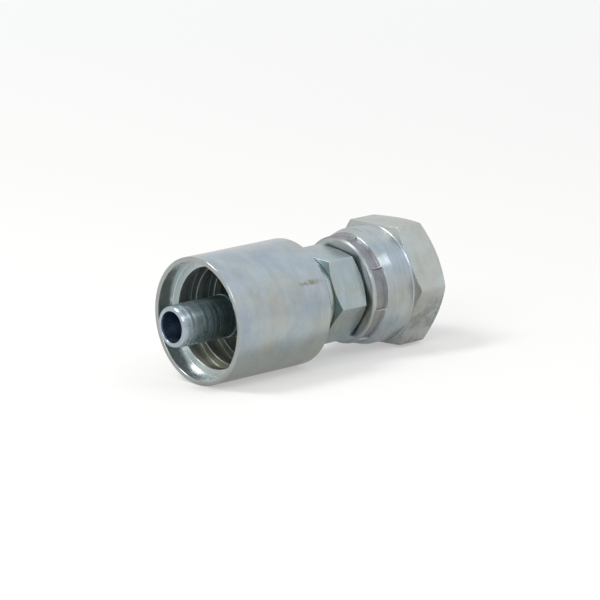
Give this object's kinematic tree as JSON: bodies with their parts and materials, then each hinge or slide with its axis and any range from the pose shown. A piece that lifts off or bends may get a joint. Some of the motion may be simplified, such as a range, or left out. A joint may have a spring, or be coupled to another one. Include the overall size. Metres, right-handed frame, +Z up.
{
  "type": "female swivel hose fitting",
  "caption": "Straight steel hose end with a barbed nipple inside a crimp shell, a wrench hexagon and a crimped swivel nut with a female thread.",
  "frame": {"origin": "on the common axis, in the plane of the shell's mouth, where the nipple passes out of the shell", "axes": "+X along the axis from the hose end to the threaded mouth of the nut, +Z up with the fitting lying on its side"},
  "size_m": [0.0483, 0.022, 0.02],
  "materials": {
    "shell_zinc": "satin bright zinc plating, fine turning marks, a few stains",
    "stem_zinc": "satin bright zinc plating, slightly bluer",
    "nut_zinc": "satin bright zinc plating, rough where the dies pressed"
  },
  "bodies": {
    "stem_and_shell": {"hose_stem": "stem_zinc", "crimp_shell": "shell_zinc"},
    "nut": {"swivel_nut": "nut_zinc"}
  },
  "joints": [
    {"name": "nut_swivel", "type": "hinge", "parent": "stem_and_shell", "child": "nut", "pos_m": [0.0295, 0, 0], "axis": [1, 0, 0], "continuous": true}
  ]
}
